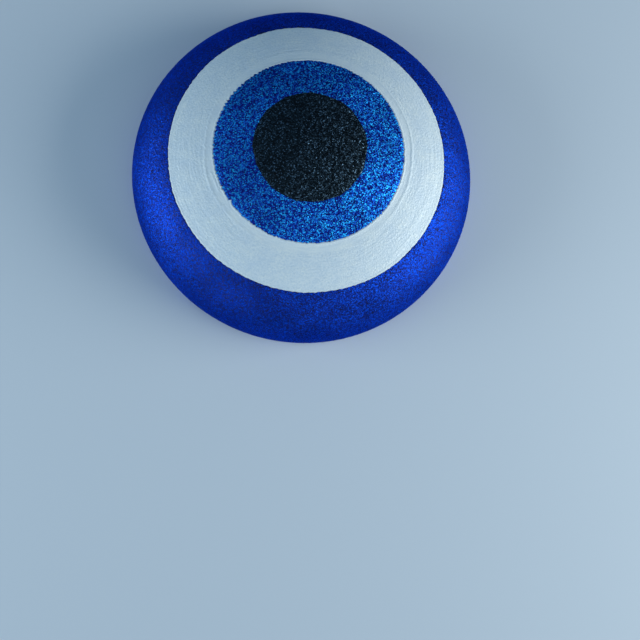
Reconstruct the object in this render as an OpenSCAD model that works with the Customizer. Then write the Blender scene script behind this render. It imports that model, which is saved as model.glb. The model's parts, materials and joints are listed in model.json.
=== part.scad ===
// Domed round percher hat with a glitter eye motif, lying on its rim with the dome up.
// +Z is the dome's axis, the origin is the centre of the rim on the resting plane,
// +X is the wearer's back, -X the face, -Y the side that is worn low.

/* [Dome] */
// Widest diameter of the finished hat
hat_d = 210; // [190:1:230]
// Height of the crown above the widest line
crown_rise = 58; // [54:1:62]
// Height of the widest line above the resting edge
tuck_h = 6; // [5:0.5:8]
// Radius of the rolled shoulder
shoulder_r = 40; // [36:1:42]
// Thickness of the blocked foundation
shell_t = 2.2; // [1.8:0.1:2.6]

/* [Eye motif] */
// Radius of the black pupil
pupil_r = 33; // [28:1:38]
// Outer radius of the azure iris
iris_r = 55.5; // [48:0.5:60]
// Outer radius of the white ring
white_r = 82; // [76:1:88]
// Thickness of the fine blue glitter coat
rim_coat_t = 0.8; // [0.5:0.1:1]
// Thickness of the white paint coat
white_coat_t = 0.7; // [0.5:0.1:1]
// Thickness of the coarse azure glitter coat
iris_coat_t = 0.9; // [0.5:0.1:1]
// Thickness of the black glitter coat
pupil_coat_t = 0.9; // [0.5:0.1:1]

/* [Rim finish] */
// Diameter of the millinery wire
wire_d = 1.4; // [1:0.1:1.6]
// Length of the brass ferrule that joins the wire's ends
joiner_len = 16; // [10:1:24]
// Thickness of the binding tape
tape_t = 0.6; // [0.4:0.1:0.8]
// Height of the binding's inner leg
binding_h = 8; // [6:0.5:9]

/* [Inside] */
// Thickness of the satin lining
lining_t = 0.5; // [0.4:0.1:0.8]
// Radius of the round lining tip
tip_r = 58; // [50:1:64]
// Width of the felled seam between the tip and the side band
seam_w = 2.4; // [2:0.2:4]
// Thickness of the petersham ribbon
ribbon_t = 0.7; // [0.5:0.1:1]
// Height at which the ribbon ends below the lining
ribbon_top = 24; // [22:1:26]
// Width of the ribbon's folded overlap, as an angle
overlap_deg = 8; // [5:1:12]
// Stitches along each edge of the ribbon
stitches = 36; // [24:4:48]

/* [Comb] */
// Length of the comb's spine
comb_w = 46; // [40:1:50]
// Number of teeth
teeth = 15; // [11:2:17]
// Diameter of a tooth
tooth_d = 1.1; // [0.9:0.1:1.3]
// Radius of the curve that each tooth follows
tooth_curve_r = 110; // [90:5:130]
// Angle that each tooth sweeps along its curve
tooth_sweep = 18; // [14:1:19]
// Radius of the spine rod
spine_r = 1.2; // [1:0.1:1.4]

/* [Elastic tabs] */
// Radius of the eyelet's hole, which the elastic passes through
eye_r = 2; // [1.6:0.1:2.2]
// Width of each ribbon tab
tab_w = 9; // [8:0.5:11]
// Length of each tab, from its hinge to its free end
tab_len = 14; // [13:0.5:14.5]
// Distance from the tab's hinge to the middle of its eyelet
eye_drop = 9.3; // [9:0.1:9.6]

/* [Hidden] */
$fn = 144;
round_fn = 36;

// The foundation's outer surface is a crown sphere and a shoulder torus that meet tangentially.
base_r = hat_d / 2 - rim_coat_t;
roll_r = shoulder_r - rim_coat_t;
roll_x = base_r - roll_r;
crown_h = crown_rise - pupil_coat_t;
crown_r = (pow(roll_x, 2) + pow(crown_h, 2) - pow(roll_r, 2)) / (2 * (crown_h - roll_r));
crown_z = tuck_h + crown_h - crown_r;
far = 4 * hat_d;

// Depths are measured inwards from the foundation's outer surface.
lining_depth = shell_t + lining_t;
ribbon_depth = lining_depth + ribbon_t;
shell_low = tape_t;
coat_low = 0.3;
ribbon_low = binding_h + 0.4;
joiner_wall = 0.3;
wire_gap = joiner_wall + 0.05;
wire_z = tape_t + wire_d / 2 + wire_gap;
wire_r = wall_r(wire_z, shell_t) - wire_d / 2 - wire_gap;
binding_in_r = wire_r - wire_d / 2 - wire_gap - tape_t;
binding_out_r = wall_r(0, 0) - 0.2;
binding_top_r = wall_r(binding_h, shell_t) - 0.05;
binding_fold_z = binding_h / 2;

// The comb hangs from a pad on the lining, on the side that is worn high.
pad_t = 1;
pad_deg = 36;
wall_angle = 57;
pad_mid_r = roll_x + (roll_r - lining_depth) * cos(wall_angle);
pad_in_r = pad_mid_r - 5.5;
pad_out_r = pad_mid_r + 5.5;
spine_reach = roll_r - lining_depth - pad_t - 3.8;
spine_y = roll_x + spine_reach * cos(wall_angle);
spine_z = tuck_h + spine_reach * sin(wall_angle);
tooth_rise = 36;
tooth_pitch = (comb_w - 4) / (teeth - 1);
thread_t = 0.6;
thread_gap = 0.2;
thread_bite = 0.8;
sewn_gaps = [1, 5, 8, 12];

// Each elastic tab hangs from a bar tack near the ribbon's top edge and leans on the ribbon.
tack_r = 0.7;
tack_bite = 0.1;
tack_z = 22.5;
tack_x = wall_r(tack_z, ribbon_depth) - tack_r + tack_bite;
tab_lean = 14;
tab_t = 1.2;
tab_gap = 0.2;
eyelet_wall = 0.4;
eyelet_flange = 1.6;
eyelet_lip = 0.4;

// Radius of the wall at height z and at a depth inside the foundation's outer surface
function wall_r(z, depth) = roll_x + sqrt(pow(roll_r - depth, 2) - pow(z - tuck_h, 2));

// Space between the spine's axis and the pad, at a distance x along the spine
function pad_space(x) =
    roll_r - lining_depth - pad_t - norm([norm([x, spine_y]) - roll_x, spine_z - tuck_h]);

// Place of a gap between two teeth, along the spine
function gap_x(i) = (i + 1 - teeth / 2) * tooth_pitch;

// Half section of everything under the dome's surface, at a depth inside the foundation
module dome_section(depth) {
    intersection() {
        translate([0, crown_z])
            circle(r = crown_r - depth);
        polygon([[0, crown_z], [0, far], [far * roll_x / (tuck_h - crown_z), far + crown_z]]);
    }
    translate([roll_x, tuck_h])
        circle(r = roll_r - depth);
    translate([0, -tuck_h])
        square([roll_x, 2 * tuck_h]);
}

// Half section of a layer between two depths, from radius r1 to r2 and above height low
module layer_section(outer_depth, inner_depth, r1, r2, low) {
    intersection() {
        difference() {
            dome_section(outer_depth);
            dome_section(inner_depth);
        }
        translate([r1, low])
            square([r2 - r1, far]);
    }
}

module layer(outer_depth, inner_depth, r1 = 0, r2 = 2 * hat_d, low = 0) {
    rotate_extrude()
        layer_section(outer_depth, inner_depth, r1, r2, low);
}

// The same layer cut to a sector that is centred on +Y
module sector_layer(outer_depth, inner_depth, r1, r2, low, sector) {
    rotate([0, 0, 90 - sector / 2])
        rotate_extrude(angle = sector)
            layer_section(outer_depth, inner_depth, r1, r2, low);
}

module foundation_shell() {
    color("midnightblue")
        layer(0, shell_t, low = shell_low);
}

module outer_glitter_band() {
    color("mediumblue")
        layer(-rim_coat_t, 0, r1 = white_r, low = coat_low);
}

module white_paint_band() {
    color("azure")
        layer(-white_coat_t, 0, r1 = iris_r, r2 = white_r, low = tuck_h);
}

module iris_glitter_band() {
    color("dodgerblue")
        layer(-iris_coat_t, 0, r1 = pupil_r, r2 = iris_r, low = tuck_h);
}

module pupil_glitter_disc() {
    color("black")
        layer(-pupil_coat_t, 0, r2 = pupil_r, low = tuck_h);
}

module edge_wire() {
    color("silver")
        rotate_extrude()
            translate([wire_r, wire_z])
                circle(d = wire_d, $fn = round_fn);
}

// A ferrule: a short arc of tube crimped around the wire's ends
module wire_joiner() {
    sweep = joiner_len / wire_r * 180 / PI;
    color("goldenrod")
        rotate([0, 0, -90 - sweep / 2])
            rotate_extrude(angle = sweep)
                translate([wire_r, wire_z])
                    difference() {
                        circle(d = wire_d + 2 * joiner_wall, $fn = round_fn);
                        circle(d = wire_d, $fn = round_fn);
                    }
}

// Bias tape under the foundation's edge, folded up inside it to close the wire's channel
module edge_binding() {
    color("navy")
        rotate_extrude()
            polygon([
                [binding_in_r, 0],
                [binding_out_r, 0],
                [binding_out_r, tape_t],
                [binding_in_r + tape_t, tape_t],
                [binding_in_r + tape_t, binding_fold_z],
                [binding_top_r, binding_h],
                [binding_top_r - tape_t, binding_h],
                [binding_in_r, binding_fold_z]
            ]);
}

module lining_tip() {
    color("darkblue")
        layer(shell_t, lining_depth, r2 = tip_r, low = tuck_h);
}

module lining_side_band() {
    color("darkblue")
        layer(shell_t, lining_depth, r1 = tip_r, low = ribbon_low);
}

module lining_seam() {
    color("navy")
        layer(lining_depth, lining_depth + lining_t,
              r1 = tip_r - seam_w / 2, r2 = tip_r + seam_w / 2, low = tuck_h);
}

module rim_ribbon() {
    color("black")
        intersection() {
            layer(lining_depth, ribbon_depth, low = ribbon_low);
            cylinder(r = hat_d, h = ribbon_top);
        }
}

// The ribbon's end is folded under and laps over its start at the low side.
module ribbon_overlap() {
    color("black")
        rotate([0, 0, 180])
            intersection() {
                sector_layer(ribbon_depth, ribbon_depth + ribbon_t, 0, 2 * hat_d, ribbon_low, overlap_deg);
                cylinder(r = hat_d, h = ribbon_top);
            }
}

module ribbon_stitches() {
    stitch_len = 3;
    stitch_d = 0.5;
    color("dimgray")
        for (edge_z = [ribbon_low + 1.4, ribbon_top - 1.4])
            for (i = [0 : stitches - 1])
                rotate([0, 0, (i + 0.5) * 360 / stitches])
                    translate([wall_r(edge_z, ribbon_depth), -stitch_len / 2, edge_z])
                        rotate([-90, 0, 0])
                            cylinder(d = stitch_d, h = stitch_len, $fn = round_fn);
}

// A felt pad sewn to the lining, which the comb's stitches pass through
module comb_pad() {
    color("dimgray")
        sector_layer(lining_depth, lining_depth + pad_t, pad_in_r, pad_out_r, tuck_h, pad_deg);
}

module comb_spine() {
    color("silver")
        translate([-comb_w / 2, spine_y, spine_z])
            rotate([0, 90, 0])
                cylinder(r = spine_r, h = comb_w, $fn = round_fn);
}

// One tooth in the YZ plane: an arc from the spine that curves with the dome to a round tip
module tooth() {
    rotate([0, 0, 180])
        rotate([tooth_rise, 0, 0])
            translate([0, 0, -tooth_curve_r])
                rotate([90, 0, 90])
                    rotate([0, 0, 90 - tooth_sweep]) {
                        rotate_extrude(angle = tooth_sweep)
                            translate([tooth_curve_r, 0])
                                circle(d = tooth_d, $fn = round_fn);
                        translate([tooth_curve_r, 0, 0])
                            sphere(d = tooth_d, $fn = round_fn);
                    }
}

module comb_teeth() {
    color("silver")
        for (i = [0 : teeth - 1])
            translate([(i - (teeth - 1) / 2) * tooth_pitch, spine_y, spine_z])
                tooth();
}

// Turns of fine wire around the spine, in each gap between teeth that no stitch uses
module comb_winding() {
    turn_d = 0.5;
    turn_pitch = 0.55;
    color("gainsboro")
        for (i = [0 : teeth - 2])
            if (len(search(i, sewn_gaps)) == 0)
                for (turn = [-1, 0, 1])
                    translate([gap_x(i) + turn * turn_pitch, spine_y, spine_z])
                        rotate([0, 90, 0])
                            rotate_extrude()
                                translate([spine_r + turn_d / 2, 0])
                                    circle(d = turn_d, $fn = round_fn);
}

// Long round-ended outline that reaches from the spine towards the pad
module stitch_outline(r, reach) {
    circle(r = r, $fn = round_fn);
    translate([0, -r])
        square([reach, 2 * r]);
    translate([reach, 0])
        circle(r = r, $fn = round_fn);
}

// Loops of thread around the spine, each of which bites into the pad
module comb_stitches() {
    inner_r = spine_r + thread_gap;
    color("navy")
        for (i = sewn_gaps) {
            reach = pad_space(gap_x(i)) + thread_bite - inner_r - thread_t;
            translate([gap_x(i), spine_y, spine_z])
                rotate([wall_angle - 90, 0, 0])
                    rotate([0, -90, 0])
                        linear_extrude(height = thread_t, center = true)
                            difference() {
                                stitch_outline(inner_r + thread_t, reach);
                                stitch_outline(inner_r, reach);
                            }
        }
}

// Places a tab's parts on the +X side: local -Z runs down the tab, local X is its thickness
module on_tab() {
    translate([tack_x, 0, tack_z])
        rotate([0, -tab_lean, 0])
            children();
}

// A folded ribbon with rounded lower corners and a punched hole
module elastic_tab() {
    corner_r = 2;
    top = tack_r + tab_gap;
    on_tab()
        rotate([0, 90, 0])
            linear_extrude(height = tab_t, center = true)
                difference() {
                    union() {
                        translate([top, -tab_w / 2])
                            square([tab_len - corner_r - top, tab_w]);
                        translate([tab_len - corner_r - 1, corner_r - tab_w / 2])
                            square([corner_r + 1, tab_w - 2 * corner_r]);
                        for (side = [-1, 1])
                            translate([tab_len - corner_r, side * (tab_w / 2 - corner_r)])
                                circle(r = corner_r, $fn = round_fn);
                    }
                    translate([eye_drop, 0])
                        circle(r = eye_r + eyelet_wall, $fn = round_fn);
                }
}

// A brass eyelet: a barrel through the tab with a lip on each face
module eyelet() {
    half_len = tab_t / 2 + eyelet_lip;
    on_tab()
        translate([0, 0, -eye_drop])
            rotate([0, 90, 0])
                rotate_extrude($fn = round_fn)
                    union() {
                        translate([eye_r, -half_len])
                            square([eyelet_wall, 2 * half_len]);
                        for (face = [-1, 1])
                            translate([eye_r, face * (half_len - eyelet_lip / 2) - eyelet_lip / 2])
                                square([eyelet_flange, eyelet_lip]);
                    }
}

module elastic_tab_back() {
    color("black")
        elastic_tab();
}

module elastic_tab_front() {
    color("black")
        mirror([1, 0, 0])
            elastic_tab();
}

module eyelet_back() {
    color("goldenrod")
        eyelet();
}

module eyelet_front() {
    color("goldenrod")
        mirror([1, 0, 0])
            eyelet();
}

// A bar of thread at the top of each tab, sewn into the ribbon
module tab_bar_tacks() {
    color("navy")
        for (side = [-1, 1])
            translate([side * tack_x, 0, tack_z])
                rotate([90, 0, 0])
                    cylinder(r = tack_r, h = tab_w, center = true, $fn = round_fn);
}

foundation_shell();
outer_glitter_band();
white_paint_band();
iris_glitter_band();
pupil_glitter_disc();
edge_wire();
wire_joiner();
edge_binding();
lining_tip();
lining_side_band();
lining_seam();
rim_ribbon();
ribbon_overlap();
ribbon_stitches();
comb_pad();
comb_spine();
comb_teeth();
comb_winding();
comb_stitches();
elastic_tab_front();
elastic_tab_back();
eyelet_front();
eyelet_back();
tab_bar_tacks();
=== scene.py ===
import math
import bpy
import json
import numpy as np
from mathutils import Matrix, Vector


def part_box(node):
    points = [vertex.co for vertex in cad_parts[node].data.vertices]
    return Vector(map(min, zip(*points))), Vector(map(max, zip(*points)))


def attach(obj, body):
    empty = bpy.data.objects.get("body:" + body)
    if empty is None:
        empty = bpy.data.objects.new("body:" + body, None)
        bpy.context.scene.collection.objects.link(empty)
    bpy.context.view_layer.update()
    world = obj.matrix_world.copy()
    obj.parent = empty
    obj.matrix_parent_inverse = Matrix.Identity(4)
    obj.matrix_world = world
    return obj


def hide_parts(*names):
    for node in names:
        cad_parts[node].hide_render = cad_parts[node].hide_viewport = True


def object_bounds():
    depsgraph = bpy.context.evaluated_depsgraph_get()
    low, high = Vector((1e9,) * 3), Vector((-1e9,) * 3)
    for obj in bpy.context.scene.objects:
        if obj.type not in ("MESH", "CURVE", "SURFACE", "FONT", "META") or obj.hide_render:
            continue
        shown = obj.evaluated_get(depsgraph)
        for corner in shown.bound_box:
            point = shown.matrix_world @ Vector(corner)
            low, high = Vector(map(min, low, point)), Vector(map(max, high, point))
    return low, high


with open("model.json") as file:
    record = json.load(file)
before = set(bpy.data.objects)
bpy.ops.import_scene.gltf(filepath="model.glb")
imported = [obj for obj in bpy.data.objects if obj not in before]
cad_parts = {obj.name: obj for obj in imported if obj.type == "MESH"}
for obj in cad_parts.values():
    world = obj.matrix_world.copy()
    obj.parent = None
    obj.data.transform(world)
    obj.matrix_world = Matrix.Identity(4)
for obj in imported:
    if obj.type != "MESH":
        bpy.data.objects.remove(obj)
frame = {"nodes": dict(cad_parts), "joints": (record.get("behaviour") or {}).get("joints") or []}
cad_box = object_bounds()
nodes = frame["nodes"]

# ---------------------------------------------------------------- the dome, in metres
# A round crown of radius CROWN_R meets a rolled shoulder of radius ROLL_R at the angle TANGENT.
# The shoulder tucks in below TUCK_H, and places on the dome are arc lengths from its top.
MM = 0.001
TAU = 2 * math.pi
TUCK_H = 6.0 * MM
BASE_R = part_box("foundation_shell")[1].x
CROWN_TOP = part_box("foundation_shell")[1].z
ROLL_R = 39.2 * MM
ROLL_X = BASE_R - ROLL_R
CROWN_H = CROWN_TOP - TUCK_H
CROWN_R = (ROLL_X ** 2 + CROWN_H ** 2 - ROLL_R ** 2) / (2 * (CROWN_H - ROLL_R))
CROWN_Z = TUCK_H + CROWN_H - CROWN_R
TANGENT = math.atan2(ROLL_X, TUCK_H - CROWN_Z)
S_TANGENT = CROWN_R * TANGENT
PUPIL_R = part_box("pupil_glitter_disc")[1].x
IRIS_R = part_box("iris_glitter_band")[1].x
WHITE_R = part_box("white_paint_band")[1].x


def arc_of_radius(r):
    """Arc length from the dome's top to the crown's circle of plan radius r."""
    return CROWN_R * math.asin(r / CROWN_R)


def arc_of_height(z):
    """Arc length from the dome's top down to height z on the shoulder."""
    return S_TANGENT + ROLL_R * (math.acos((z - TUCK_H) / ROLL_R) - TANGENT)


def profile(s):
    """Plan radius, height, and the normal's outward and upward parts, at arc length s."""
    s = np.asarray(s, float)
    on_crown = s < S_TANGENT
    phi = np.where(on_crown, s / CROWN_R, TANGENT + (s - S_TANGENT) / ROLL_R)
    r = np.where(on_crown, CROWN_R * np.sin(phi), ROLL_X + ROLL_R * np.sin(phi))
    z = np.where(on_crown, CROWN_Z + CROWN_R * np.cos(phi), TUCK_H + ROLL_R * np.cos(phi))
    return r, z, np.sin(phi), np.cos(phi)


def on_dome(s, angle, off):
    """Points at arc length s and an angle round the axis, off metres outside the foundation."""
    r, z, out, up = profile(s)
    r = r + off * out
    return np.stack([r * np.cos(angle), r * np.sin(angle), z + off * up], -1)


# ---------------------------------------------------------------- mesh helpers
def new_piece(name, points, faces, body, slot, replaced, material, smooth=True):
    """A mesh object from arrays of points and of equal-sided faces, which rides on a body."""
    points = np.ascontiguousarray(points, np.float32)
    faces = np.ascontiguousarray(faces, np.int32)
    corners = points[faces[:, :3]].astype(float)
    if np.einsum("ij,ij->i", corners[:, 0], np.cross(corners[:, 1], corners[:, 2])).sum() < 0:
        faces = np.ascontiguousarray(faces[:, ::-1])
    mesh = bpy.data.meshes.new(name)
    mesh.vertices.add(len(points))
    mesh.vertices.foreach_set("co", points.ravel())
    mesh.loops.add(faces.size)
    mesh.loops.foreach_set("vertex_index", faces.ravel())
    mesh.polygons.add(len(faces))
    mesh.polygons.foreach_set("loop_start", np.arange(0, faces.size, faces.shape[1], dtype=np.int32))
    mesh.polygons.foreach_set("use_smooth", np.full(len(faces), smooth))
    mesh.update(calc_edges=True)
    mesh.validate()
    mesh.materials.append(material)
    piece = bpy.data.objects.new(name, mesh)
    bpy.context.scene.collection.objects.link(piece)
    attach(piece, body)
    if replaced:
        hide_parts(*replaced)
    return piece


def zip_rings(rings, closed):
    """Triangles between rings of points round the axis, each ring an (angles, points) pair."""
    starts = np.cumsum([0] + [len(angles) for angles, points in rings])
    points = np.concatenate([ring[1] for ring in rings])
    triangles = []
    pairs = [(i, i + 1) for i in range(len(rings) - 1)]
    if closed:
        pairs.append((len(rings) - 1, 0))
    for i, j in pairs:
        angles_a, angles_b = rings[i][0], rings[j][0]
        count_a, count_b = len(angles_a), len(angles_b)
        index_a, index_b = np.arange(count_a), np.arange(count_b)
        if count_a > 1:
            near_b = (np.searchsorted(angles_b, angles_a) - 1) % count_b
            triangles.append(np.stack([starts[i] + index_a, starts[i] + (index_a - 1) % count_a,
                                       starts[j] + near_b], -1))
        if count_b > 1:
            near_a = (np.searchsorted(angles_a, angles_b) - 1) % count_a
            triangles.append(np.stack([starts[j] + (index_b - 1) % count_b, starts[j] + index_b,
                                       starts[i] + near_a], -1))
    return points, np.concatenate(triangles)


def grid_faces(rows, columns, row_spans, column_spans):
    """Quads over a grid of points, which goes right round where it has as many spans as points."""
    i, j = (v.ravel() for v in np.meshgrid(np.arange(row_spans), np.arange(column_spans), indexing="ij"))
    n, k = (i + 1) % rows, (j + 1) % columns
    return np.stack([i * columns + j, i * columns + k, n * columns + k, n * columns + j], -1)


def slab(face_a, face_b, wrap):
    """A closed solid between two grids of points; with wrap, the grid's columns go right round."""
    rows, columns = face_a.shape[:2]
    points = np.concatenate([face_a.reshape(-1, 3), face_b.reshape(-1, 3)])
    spans = columns if wrap else columns - 1
    top = grid_faces(rows, columns, rows - 1, spans)
    shift = rows * columns
    faces = [top, top[:, ::-1] + shift]
    j = np.arange(spans)
    k = (j + 1) % columns
    last = (rows - 1) * columns
    faces.append(np.stack([k, j, j + shift, k + shift], -1))
    faces.append(np.stack([last + j, last + k, last + k + shift, last + j + shift], -1))
    if not wrap:
        i = np.arange(rows - 1) * columns
        faces.append(np.stack([i, i + columns, i + columns + shift, i + shift], -1))
        i = i + columns - 1
        faces.append(np.stack([i + columns, i, i + shift, i + columns + shift], -1))
    return points, np.concatenate(faces)


# ---------------------------------------------------------------- borders between the coats
def wave(angle, seed, low, high, size):
    """A smooth random wave round the axis, with low to high bumps in a turn."""
    rng = np.random.default_rng(seed)
    total = np.zeros_like(angle)
    for k in range(low, high + 1):
        total += rng.normal() * np.sin(k * angle + rng.uniform(0, TAU))
    return total * size / math.sqrt(high - low + 1)


def cut_edge(angle, radius, count, wobble, seed):
    """The radius of a circle that was cut by hand as a ring of short straight snips."""
    rng = np.random.default_rng(seed)
    corners = (np.arange(count) + rng.uniform(-0.3, 0.3, count)) * TAU / count
    radii = radius + rng.uniform(-wobble, wobble, count)
    at = np.mod(angle - corners[0], TAU) + corners[0]
    i = np.clip(np.searchsorted(corners, at, side="right") - 1, 0, count - 1)
    j = (i + 1) % count
    span = np.mod(corners[j] - corners[i], TAU)
    past = at - corners[i]
    return radii[i] * radii[j] * np.sin(span) / (
        radii[i] * np.sin(past) + radii[j] * np.sin(span - past))


def pupil_border(angle):
    """The pupil's edge, cut by hand in 24 snips."""
    snips = cut_edge(angle, arc_of_radius(PUPIL_R) + 0.25 * MM, 24, 0.45 * MM, 5)
    return snips + wave(angle, 8, 40, 90, 0.08 * MM)


def iris_border(angle):
    """The iris's jagged edge, most ragged round 150 degrees, with one nick at 214 degrees."""
    nick = 1.1 * MM * np.exp(-((np.mod(angle - math.radians(214), TAU) / math.radians(1.6)) ** 2))
    from_ragged = np.abs(np.mod(angle - math.radians(150) + math.pi, TAU) - math.pi)
    ragged = 0.2 * MM + 0.22 * MM * np.exp(-((from_ragged / math.radians(45)) ** 4))
    jags = wave(angle, 12, 8, 60, 0.17 * MM) + wave(angle, 13, 90, 190, 1.0) * ragged
    return arc_of_radius(IRIS_R) + jags - nick


def white_border(angle):
    """The painted edge against the outer glitter."""
    bumps = wave(angle, 21, 3, 26, 0.16 * MM) + wave(angle, 22, 60, 200, 0.14 * MM)
    return arc_of_radius(WHITE_R) + bumps


def rim_border(angle):
    """The rim, where the outer glitter ends."""
    return np.full_like(angle, arc_of_height(0.3 * MM))


def top_point(angle):
    """The dome's top, as a border of no size."""
    return np.zeros_like(angle)


# ---------------------------------------------------------------- glitter and paint coats
# Coats start a little inside the foundation. Rows of flakes lie closer than the flakes in a row.
COAT_SINK = 0.05 * MM
ROW_SHARE = 0.87
DRAG_ENDS = np.array([(-56.5, -14.6), (-52.4, -25.2)]) * MM


def ring_at(inner, outer, t, pitch, jitter, rng):
    """One ring of a coat's top, t of the way from its inner to its outer border."""
    probe = np.linspace(0, TAU, 360, endpoint=False)
    mean_s = float(np.mean((1 - t) * inner(probe) + t * outer(probe)))
    count = max(int(TAU * float(profile(mean_s)[0]) / pitch), 1)
    angles = (np.arange(count) + 0.5 + rng.uniform(-jitter, jitter, count)) * TAU / count
    return angles, (1 - t) * inner(angles) + t * outer(angles)


def glitter_coat(name, node, slot, material, inner, outer, thick, pitch, rough, seed):
    """A coat of flakes: a closed skin over the foundation whose top is random small facets."""
    rng = np.random.default_rng(seed)
    probe = np.linspace(0, TAU, 360, endpoint=False)
    width = float(np.mean(outer(probe) - inner(probe)))
    disc = float(np.max(inner(probe))) == 0
    rows = int(width / (pitch * ROW_SHARE))
    rings = []
    for row in range(rows + 1):
        t = row / rows
        angles, s = ring_at(inner, outer, t, pitch, 0.28, rng)
        border = min(t if not disc else 1, 1 - t) * width
        if 0 < row < rows:
            s = s + rng.uniform(-0.3, 0.3, len(s)) * pitch * ROW_SHARE
        height = thick * (0.8 + 0.2 * min(border / (1.2 * MM), 1) ** 0.5)
        off = height + rng.uniform(-rough, rough, len(s))
        if disc and row == 0:
            angles, s, off = angles[:1], s[:1], off[:1]
        rings.append((angles, on_dome(s, angles, off)))
    rows_under = max(int(width / (4 * MM)), 3)
    for row in range(rows_under, -1, -1):
        t = row / rows_under
        angles = (np.arange(180) + 0.5) * TAU / 180
        s = (1 - t) * inner(angles) + t * outer(angles)
        if disc and row == 0:
            angles, s = angles[:1], s[:1]
        rings.append((angles, on_dome(s, angles, -COAT_SINK)))
    points, triangles = zip_rings(rings, not disc)
    return new_piece(name, points, triangles, "hat", slot, [node], material, smooth=False)


def streaks(count, angles, seed, length_deg):
    """Brush streaks: one smooth random strip round the axis for each row."""
    rng = np.random.default_rng(seed)
    knots = int(360 / length_deg)
    table = rng.normal(size=(count, knots + 1))
    table[:, -1] = table[:, 0]
    table[1:] = 0.55 * table[1:] + 0.45 * table[:-1]
    at = angles / TAU * knots
    low = np.clip(at.astype(int), 0, knots - 1)
    mix = at - low
    mix = mix * mix * (3 - 2 * mix)
    return table[:, low] * (1 - mix) + table[:, low + 1] * mix


def paint_coat(name, node, slot, material, inner, outer, thick, seed):
    """A coat of thick brushed paint, with ridges along the strokes and a raised lip at each border."""
    count, rows = 640, 64
    angles = (np.arange(count) + 0.5) * TAU / count
    width = float(np.mean(outer(angles) - inner(angles)))
    share = np.linspace(0, 1, rows + 1) ** np.linspace(1.25, 1, rows + 1)
    share[0] = 0
    brush = streaks(rows + 1, angles, seed, 14) + 0.5 * streaks(rows + 1, angles, seed + 1, 5)
    t = share[:, None]
    s = (1 - t) * inner(angles)[None, :] + t * outer(angles)[None, :]
    inside, outside = t * width, (1 - t) * width
    # A lip along both borders, then a ridge where the brush turned, then one long drag mark.
    lip = 0.2 * MM * np.exp(-(((inside - 0.7 * MM) / (0.6 * MM)) ** 2))
    lip = lip + 0.12 * MM * np.exp(-(((outside - 0.7 * MM) / (0.6 * MM)) ** 2))
    edge = np.minimum(inside, outside) / (0.5 * MM)
    body = thick * (1 - 0.3 * np.exp(-edge ** 2))
    crest = 5.6 * MM + wave(angles, seed + 2, 2, 9, 0.4 * MM)[None, :]
    ridge = 0.3 * MM * np.exp(-(((inside - crest) / (0.7 * MM)) ** 2))
    along = 0.5 + 0.5 * np.cos(2 * angles - 0.2)[None, :]
    rough = 0.02 * MM + 0.02 * MM * np.clip((inside - crest) / MM, 0, 1)
    place = on_dome(s, angles, 0)
    start, end = DRAG_ENDS
    along_drag = np.clip(((place[..., :2] - start) @ (end - start)) / np.dot(end - start, end - start), 0, 1)
    gap = np.linalg.norm(place[..., :2] - start - along_drag[..., None] * (end - start), axis=-1)
    drag = 0.24 * MM * np.exp(-((gap / (0.45 * MM)) ** 2))
    off = body - 0.12 * MM + lip + ridge * along + drag + rough * brush * np.minimum(edge, 1)
    solid = slab(on_dome(s, angles, off), on_dome(s, angles, -COAT_SINK), True)
    return new_piece(name, *solid, "hat", slot, [node], material)


# ---------------------------------------------------------------- materials
def rgb(red, green, blue):
    """A linear colour from 0 to 255 display values."""
    values = [v / 255 for v in (red, green, blue)]
    return [v / 12.92 if v <= 0.04045 else ((v + 0.055) / 1.055) ** 2.4 for v in values] + [1.0]


class Graph:
    """A material's node tree, with short calls to add and join nodes."""

    def __init__(self, name):
        self.material = bpy.data.materials.new(name)
        self.material.use_nodes = True
        self.tree = self.material.node_tree
        self.shader = self.tree.nodes["Principled BSDF"]
        self.place = self.add("TexCoord", {}).outputs["Object"]

    def add(self, kind, inputs, **settings):
        node = self.tree.nodes.new("ShaderNode" + kind)
        for key, value in settings.items():
            setattr(node, key, value)
        for key, value in inputs.items():
            self.join(node.inputs[key], value)
        return node

    def join(self, socket, value):
        if isinstance(value, bpy.types.NodeSocket):
            self.tree.links.new(value, socket)
        else:
            socket.default_value = value

    def sets(self, **inputs):
        for key, value in inputs.items():
            self.join(self.shader.inputs[key.replace("_", " ")], value)

    def math(self, operation, a, b=0.0, c=0.0):
        return self.add("Math", {0: a, 1: b, 2: c}, operation=operation).outputs[0]

    def vector(self, operation, a, b=(0, 0, 0), scale=1.0):
        node = self.add("VectorMath", {0: a, 1: b}, operation=operation)
        if operation == "SCALE":
            self.join(node.inputs["Scale"], scale)
        return node.outputs["Value" if operation in ("LENGTH", "DOT_PRODUCT") else "Vector"]

    def noise(self, size, detail=2.0, place=None, rough=0.5):
        """Noise from 0 to 1 whose lumps are about size metres across."""
        place = self.place if place is None else place
        return self.add("TexNoise", {"Vector": place, "Scale": 1 / size, "Detail": detail,
                                     "Roughness": rough}).outputs["Fac"]

    def span(self, value, low, high, to_low=0.0, to_high=1.0):
        return self.add("MapRange", {0: value, 1: low, 2: high, 3: to_low, 4: to_high}).outputs[0]

    def mix(self, share, first, second, blend="MIX"):
        node = self.add("Mix", {}, data_type="RGBA", blend_type=blend)
        self.join(node.inputs[0], share)
        self.join(node.inputs[6], first)
        self.join(node.inputs[7], second)
        return node.outputs[2]

    def ramp(self, value, stops, interpolation="LINEAR"):
        node = self.add("ValToRGB", {0: value})
        ramp = node.color_ramp
        ramp.interpolation = interpolation
        while len(ramp.elements) < len(stops):
            ramp.elements.new(0.5)
        for element, (position, colour) in zip(ramp.elements, stops):
            element.position = position
            element.color = colour
        return node.outputs["Color"]

    def bump(self, height, distance, strength=1.0):
        return self.add("Bump", {"Height": height, "Distance": distance,
                                 "Strength": strength}).outputs["Normal"]


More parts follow.
